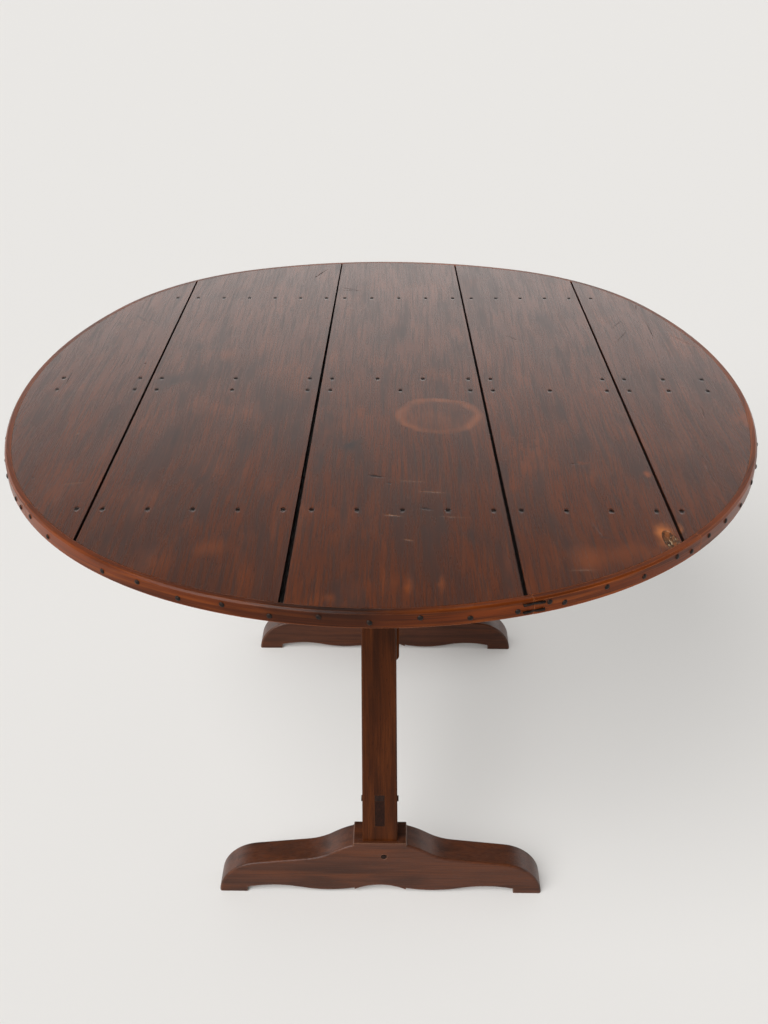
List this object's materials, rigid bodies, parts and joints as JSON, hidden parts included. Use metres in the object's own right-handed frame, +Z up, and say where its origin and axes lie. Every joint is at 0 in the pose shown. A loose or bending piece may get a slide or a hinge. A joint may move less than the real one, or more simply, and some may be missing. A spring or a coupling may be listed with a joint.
{
  "type": "winemaker table",
  "caption": "Round plank dining table with a nailed bent hoop; the top tips upright over a pegged trestle and a hinged wing swings out to hold it level.",
  "frame": {"origin": "on the floor under the middle of the top", "axes": "+X to the right across the planks, +Y along the planks towards the back, +Z up"},
  "size_m": [1.0917, 1.1518, 0.73],
  "materials": {
    "waxed_plank": "waxed, satin",
    "bent_hoop": "waxed, worn",
    "under_batten": "oiled, dull",
    "trestle_wood": "waxed, satin",
    "hardwood_peg": "waxed end grain",
    "forged_iron": "black forged"
  },
  "bodies": {
    "trestle": {"front_foot": "trestle_wood", "rear_foot": "trestle_wood", "front_post": "trestle_wood", "rear_post": "trestle_wood", "stretcher": "trestle_wood", "head_beam": "trestle_wood", "foot_pegs": "hardwood_peg", "stretcher_pegs": "hardwood_peg", "tenon_wedges": "hardwood_peg", "head_wedges": "hardwood_peg"},
    "top": {"plank_far_left": "waxed_plank", "plank_left": "waxed_plank", "plank_centre": "waxed_plank", "plank_right": "waxed_plank", "plank_far_right": "waxed_plank", "hoop_front": "bent_hoop", "hoop_right": "bent_hoop", "hoop_back": "bent_hoop", "front_bearer": "under_batten", "rear_bearer": "under_batten", "middle_batten": "under_batten", "wing_rest": "under_batten", "plank_nails": "forged_iron", "hoop_nails": "forged_iron", "hoop_staples": "forged_iron", "rest_nails": "forged_iron", "front_pivot_pin": "hardwood_peg", "rear_pivot_pin": "hardwood_peg"},
    "wing": {"wing_pivot_stile": "trestle_wood", "wing_upper_arm": "trestle_wood", "wing_lower_arm": "trestle_wood", "wing_end_stile": "trestle_wood", "wing_pegs": "hardwood_peg"}
  },
  "joints": [
    {"name": "top_tilt", "type": "hinge", "parent": "trestle", "child": "top", "pos_m": [0.043, 0, 0.665], "axis": [0, 1, 0], "range_deg": [0, 90]},
    {"name": "wing_swing", "type": "hinge", "parent": "trestle", "child": "wing", "pos_m": [0, 0, 0.42], "axis": [0, 0, 1], "range_deg": [-90, 90]}
  ]
}
